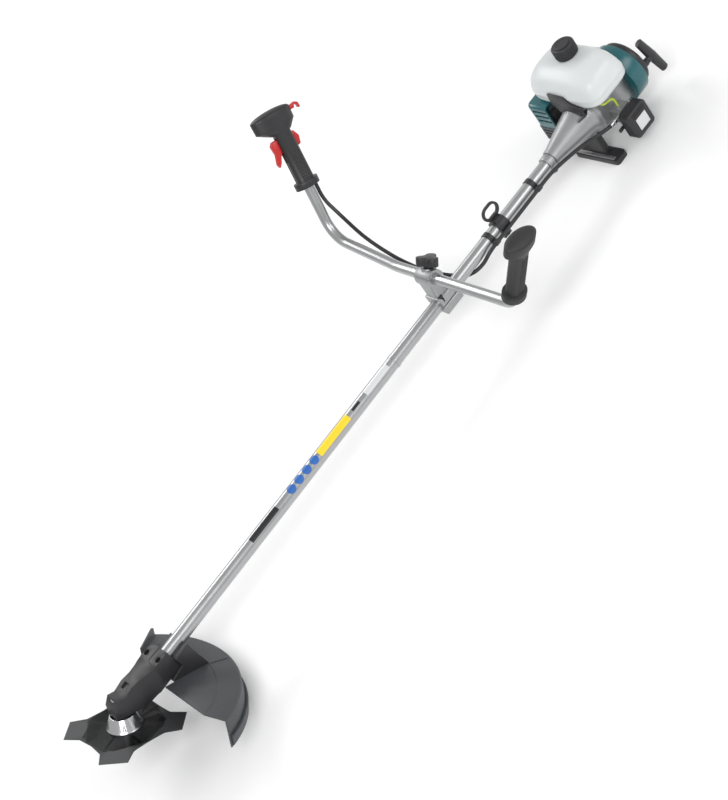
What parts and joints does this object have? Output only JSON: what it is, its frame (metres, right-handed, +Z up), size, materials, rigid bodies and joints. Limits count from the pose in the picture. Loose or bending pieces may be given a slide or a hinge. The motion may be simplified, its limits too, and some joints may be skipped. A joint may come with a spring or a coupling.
{
  "type": "brush cutter",
  "caption": "Petrol brush cutter: engine and saddle tank behind a straight pipe, U handlebar with throttle grip, angled gear head with toothed blade and wide guard.",
  "frame": {"origin": "middle of the engine stand's foot, on the floor", "axes": "+X along the machine from the engine towards the blade, +Y to the operator's left, +Z up"},
  "size_m": [1.7793, 0.7331, 0.4728],
  "materials": {
    "silver_tube": "satin drawn tube",
    "steel": "machined",
    "black_screw": "blackened steel",
    "bright_steel": "turned and polished",
    "blade_black": "matte black coating",
    "cast_alloy": "fine cast",
    "black_casting": "satin black paint",
    "guard_plastic": "fine grain",
    "black_plastic": "fine grain",
    "grip_rubber": "soft, fine grain",
    "teal_plastic": "moulded, slightly glossy",
    "grey_plastic": "moulded",
    "tank_plastic": "milky, slightly see-through",
    "red_plastic": "moulded",
    "cable_black": "smooth outer casing",
    "hose_green": "clear yellow-green hose",
    "rope_white": "braided",
    "bush_rubber": "moulded",
    "ceramic": "glazed, with a steel body"
  },
  "bodies": {
    "machine": {"air_cleaner_base": "black_plastic", "air_cleaner_cover": "black_plastic", "ball_bearings": "steel", "bar_clamp_cap": "cast_alloy", "cable_clips": "black_plastic", "carburettor": "cast_alloy", "clutch_case": "cast_alloy", "connecting_rod": "steel", "crankcase_front": "cast_alloy", "crankcase_rear": "cast_alloy", "cylinder": "cast_alloy", "cylinder_cover": "teal_plastic", "engine_stand": "black_plastic", "exhaust_guard": "grey_plastic", "fan_housing": "teal_plastic", "fuel_hose": "hose_green", "fuel_tank": "tank_plastic", "gear_case": "black_casting", "guard_bracket": "black_casting", "guard_extension": "guard_plastic", "guard_plate": "guard_plastic", "handlebar": "silver_tube", "hanger_clamp": "black_plastic", "left_grip": "grip_rubber", "main_pipe": "silver_tube", "muffler": "black_casting", "pipe_clamp_lower": "cast_alloy", "pipe_clamp_upper": "cast_alloy", "pipe_collar": "cast_alloy", "piston": "cast_alloy", "shaft_bushes": "bush_rubber", "socket_screws": "black_screw", "spark_plug": "ceramic", "stand_strap": "steel", "starter_case": "black_plastic", "tank_bracket": "black_casting", "throttle_cable": "cable_black", "throttle_grip_left": "black_plastic", "throttle_grip_right": "black_plastic"},
    "cutter": {"arbor": "steel", "arbor_gear": "steel", "blade_receiver": "bright_steel", "cutter_blade": "blade_black", "clamp_washer": "steel", "blade_nut": "steel"},
    "drive_line": {"drive_shaft": "steel", "pinion_gear": "steel", "clutch_drum": "steel"},
    "crank_set": {"crankshaft": "steel", "flywheel": "cast_alloy", "clutch_shoes": "steel"},
    "trigger": {"throttle_trigger": "red_plastic"},
    "lock": {"lock_lever": "red_plastic"},
    "switch": {"stop_switch": "red_plastic"},
    "knob": {"clamp_knob": "black_plastic"},
    "cap": {"fuel_cap": "black_plastic"},
    "choke": {"choke_lever": "black_plastic"},
    "pull": {"starter_handle": "black_plastic", "starter_rope": "rope_white"},
    "reel": {"starter_reel": "black_plastic"}
  },
  "joints": [
    {"name": "cutter_spin", "type": "hinge", "parent": "machine", "child": "cutter", "pos_m": [1.46021, 0, 0.15499], "axis": [-0.5322, 0, 0.8466], "continuous": true},
    {"name": "drive_spin", "type": "hinge", "parent": "machine", "child": "drive_line", "pos_m": [1.32031, 0, 0.14973], "axis": [0.9993, 0, 0.0376], "continuous": true},
    {"name": "crank_spin", "type": "hinge", "parent": "machine", "child": "crank_set", "pos_m": [-0.06971, 0, 0.09745], "axis": [0.9993, 0, 0.0376], "continuous": true},
    {"name": "trigger_squeeze", "type": "hinge", "parent": "machine", "child": "trigger", "pos_m": [0.38522, -0.35897, 0.41172], "axis": [-0.0106, 0.9591, 0.2828], "range_deg": [0, 14], "stiffness_Nm_per_rad": 0.4},
    {"name": "lock_squeeze", "type": "hinge", "parent": "machine", "child": "lock", "pos_m": [0.34537, -0.35559, 0.39875], "axis": [0.0106, -0.9591, -0.2828], "range_deg": [0, 10], "stiffness_Nm_per_rad": 0.4},
    {"name": "switch_rock", "type": "hinge", "parent": "machine", "child": "switch", "pos_m": [0.31189, -0.36621, 0.43347], "axis": [-0.0106, 0.9591, 0.2828], "range_deg": [0, 8]},
    {"name": "knob_turn", "type": "hinge", "parent": "machine", "child": "knob", "pos_m": [0.44482, 0, 0.19227], "axis": [-0.6448, 0, 0.7643], "range_deg": [0, 720]},
    {"name": "cap_turn", "type": "hinge", "parent": "machine", "child": "cap", "pos_m": [-0.0791, -0.02, 0.21408], "axis": [-0.0376, 0, 0.9993], "range_deg": [0, 540]},
    {"name": "choke_turn", "type": "hinge", "parent": "machine", "child": "choke", "pos_m": [-0.0523, 0.069, 0.06008], "axis": [0, -1, 0], "range_deg": [0, 50]},
    {"name": "starter_pull", "type": "slide", "parent": "machine", "child": "pull", "axis": [-0.9993, 0, -0.0376], "range_m": [0, 0.6], "stiffness_N_per_m": 4},
    {"name": "reel_turn", "type": "hinge", "parent": "machine", "child": "reel", "pos_m": [-0.15465, 0, 0.09425], "axis": [0.9993, 0, 0.0376], "range_deg": [0, 1376]}
  ],
  "couplings": [
    {"joint": "drive_spin", "follows": "cutter_spin", "ratio": 1.3571},
    {"joint": "reel_turn", "follows": "starter_pull", "rad_per_m": 40}
  ]
}
